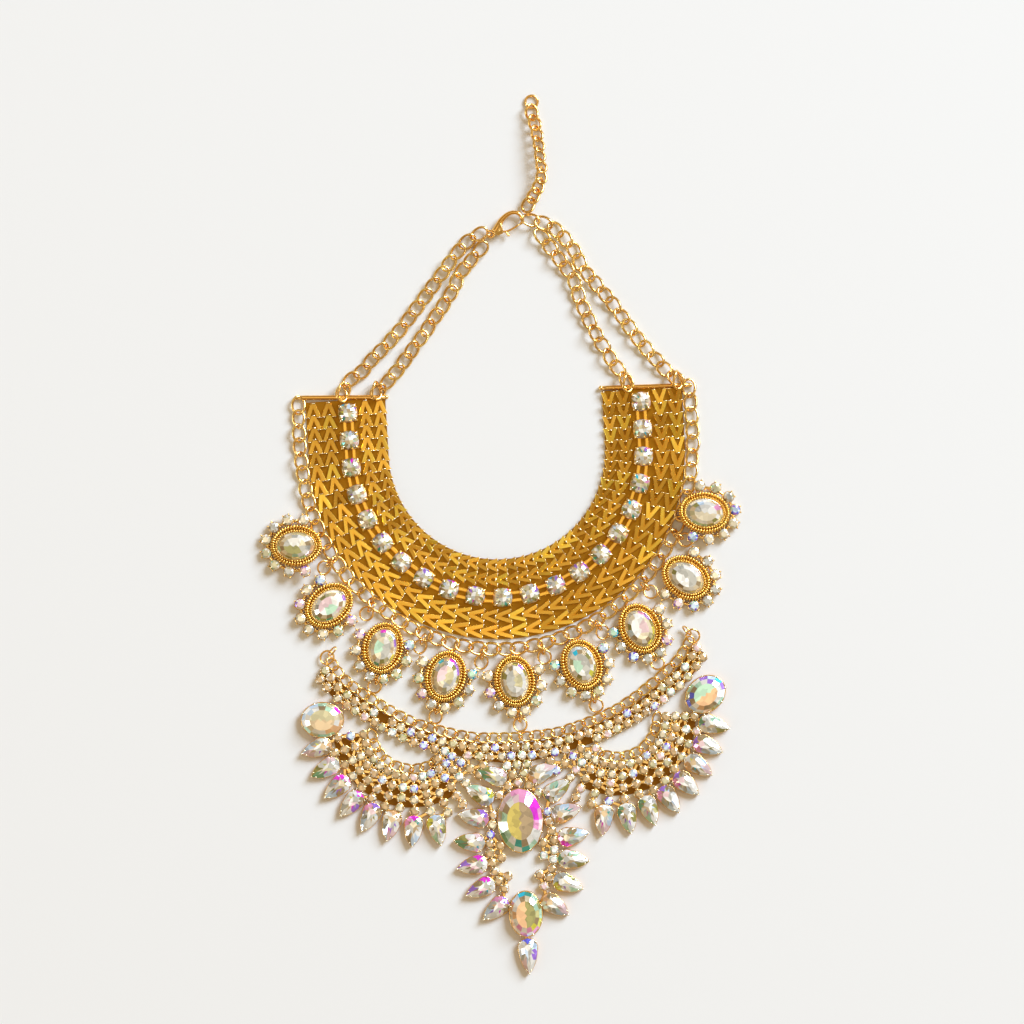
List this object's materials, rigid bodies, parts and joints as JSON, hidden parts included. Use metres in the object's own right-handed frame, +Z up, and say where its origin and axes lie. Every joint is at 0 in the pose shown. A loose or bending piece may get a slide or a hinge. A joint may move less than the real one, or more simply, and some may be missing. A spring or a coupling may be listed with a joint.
{
  "type": "bib necklace",
  "caption": "Gold-tone bib necklace lying flat: woven plate collar with a stone row, a ring of oval medallions on jump rings, and a stone-set fringe with pear drops, closed by a lobster clasp.",
  "frame": {"origin": "on the surface the necklace lies on, under the middle of its outline", "axes": "+Y from the pendant drop towards the closing chain, +Z up out of the surface, +X to the wearer's left as seen face on"},
  "size_m": [0.2016, 0.3692, 0.0078],
  "materials": {
    "gold": "polished gold-tone plating, slightly rosy",
    "collar_gold": "satin gold-tone plating on stamped plates",
    "crystal": "cut glass with a foil back and an iridescent coat"
  },
  "bodies": {
    "necklace": {"back_chain_left_inner": "gold", "back_chain_left_outer": "gold", "back_chain_right_inner": "gold", "back_chain_right_outer": "gold", "centre_oval": "crystal", "centre_pears_left": "crystal", "centre_pears_right": "crystal", "clasp_body": "gold", "collar_band_inner": "collar_gold", "collar_band_outer": "collar_gold", "collar_stones": "crystal", "end_bar_left": "gold", "end_bar_right": "gold", "extender_chain": "gold", "fan_chain_left": "gold", "fan_chain_right": "gold", "fan_pears_left": "crystal", "fan_pears_right": "crystal", "jump_ring_1": "gold", "jump_ring_10": "gold", "jump_ring_11": "gold", "jump_ring_12": "gold", "jump_ring_13": "gold", "jump_ring_14": "gold", "jump_ring_15": "gold", "jump_ring_2": "gold", "jump_ring_3": "gold", "jump_ring_4": "gold", "jump_ring_5": "gold", "jump_ring_6": "gold", "jump_ring_7": "gold", "jump_ring_8": "gold", "jump_ring_9": "gold", "lower_oval_with_drop": "crystal", "medallion_setting_1": "gold", "medallion_setting_2": "gold", "medallion_setting_3": "gold", "medallion_setting_4": "gold", "medallion_setting_5": "gold", "medallion_setting_6": "gold", "medallion_setting_7": "gold", "medallion_setting_8": "gold", "medallion_setting_9": "gold", "medallion_stone_1": "crystal", "medallion_stone_2": "crystal", "medallion_stone_3": "crystal", "medallion_stone_4": "crystal", "medallion_stone_5": "crystal", "medallion_stone_6": "crystal", "medallion_stone_7": "crystal", "medallion_stone_8": "crystal", "medallion_stone_9": "crystal", "outer_chain": "gold", "side_oval_left": "crystal", "side_oval_right": "crystal", "stone_rows_left": "gold", "stone_rows_right": "gold", "swag_chain": "gold", "swivel_ring": "gold"},
    "lever": {"clasp_lever": "gold"}
  },
  "joints": [
    {"name": "clasp_lever_hinge", "type": "hinge", "parent": "necklace", "child": "lever", "pos_m": [0.00579, 0.12764, 0.0022], "axis": [0, 0, 1], "range_deg": [0, 25], "stiffness_Nm_per_rad": 0.01}
  ]
}
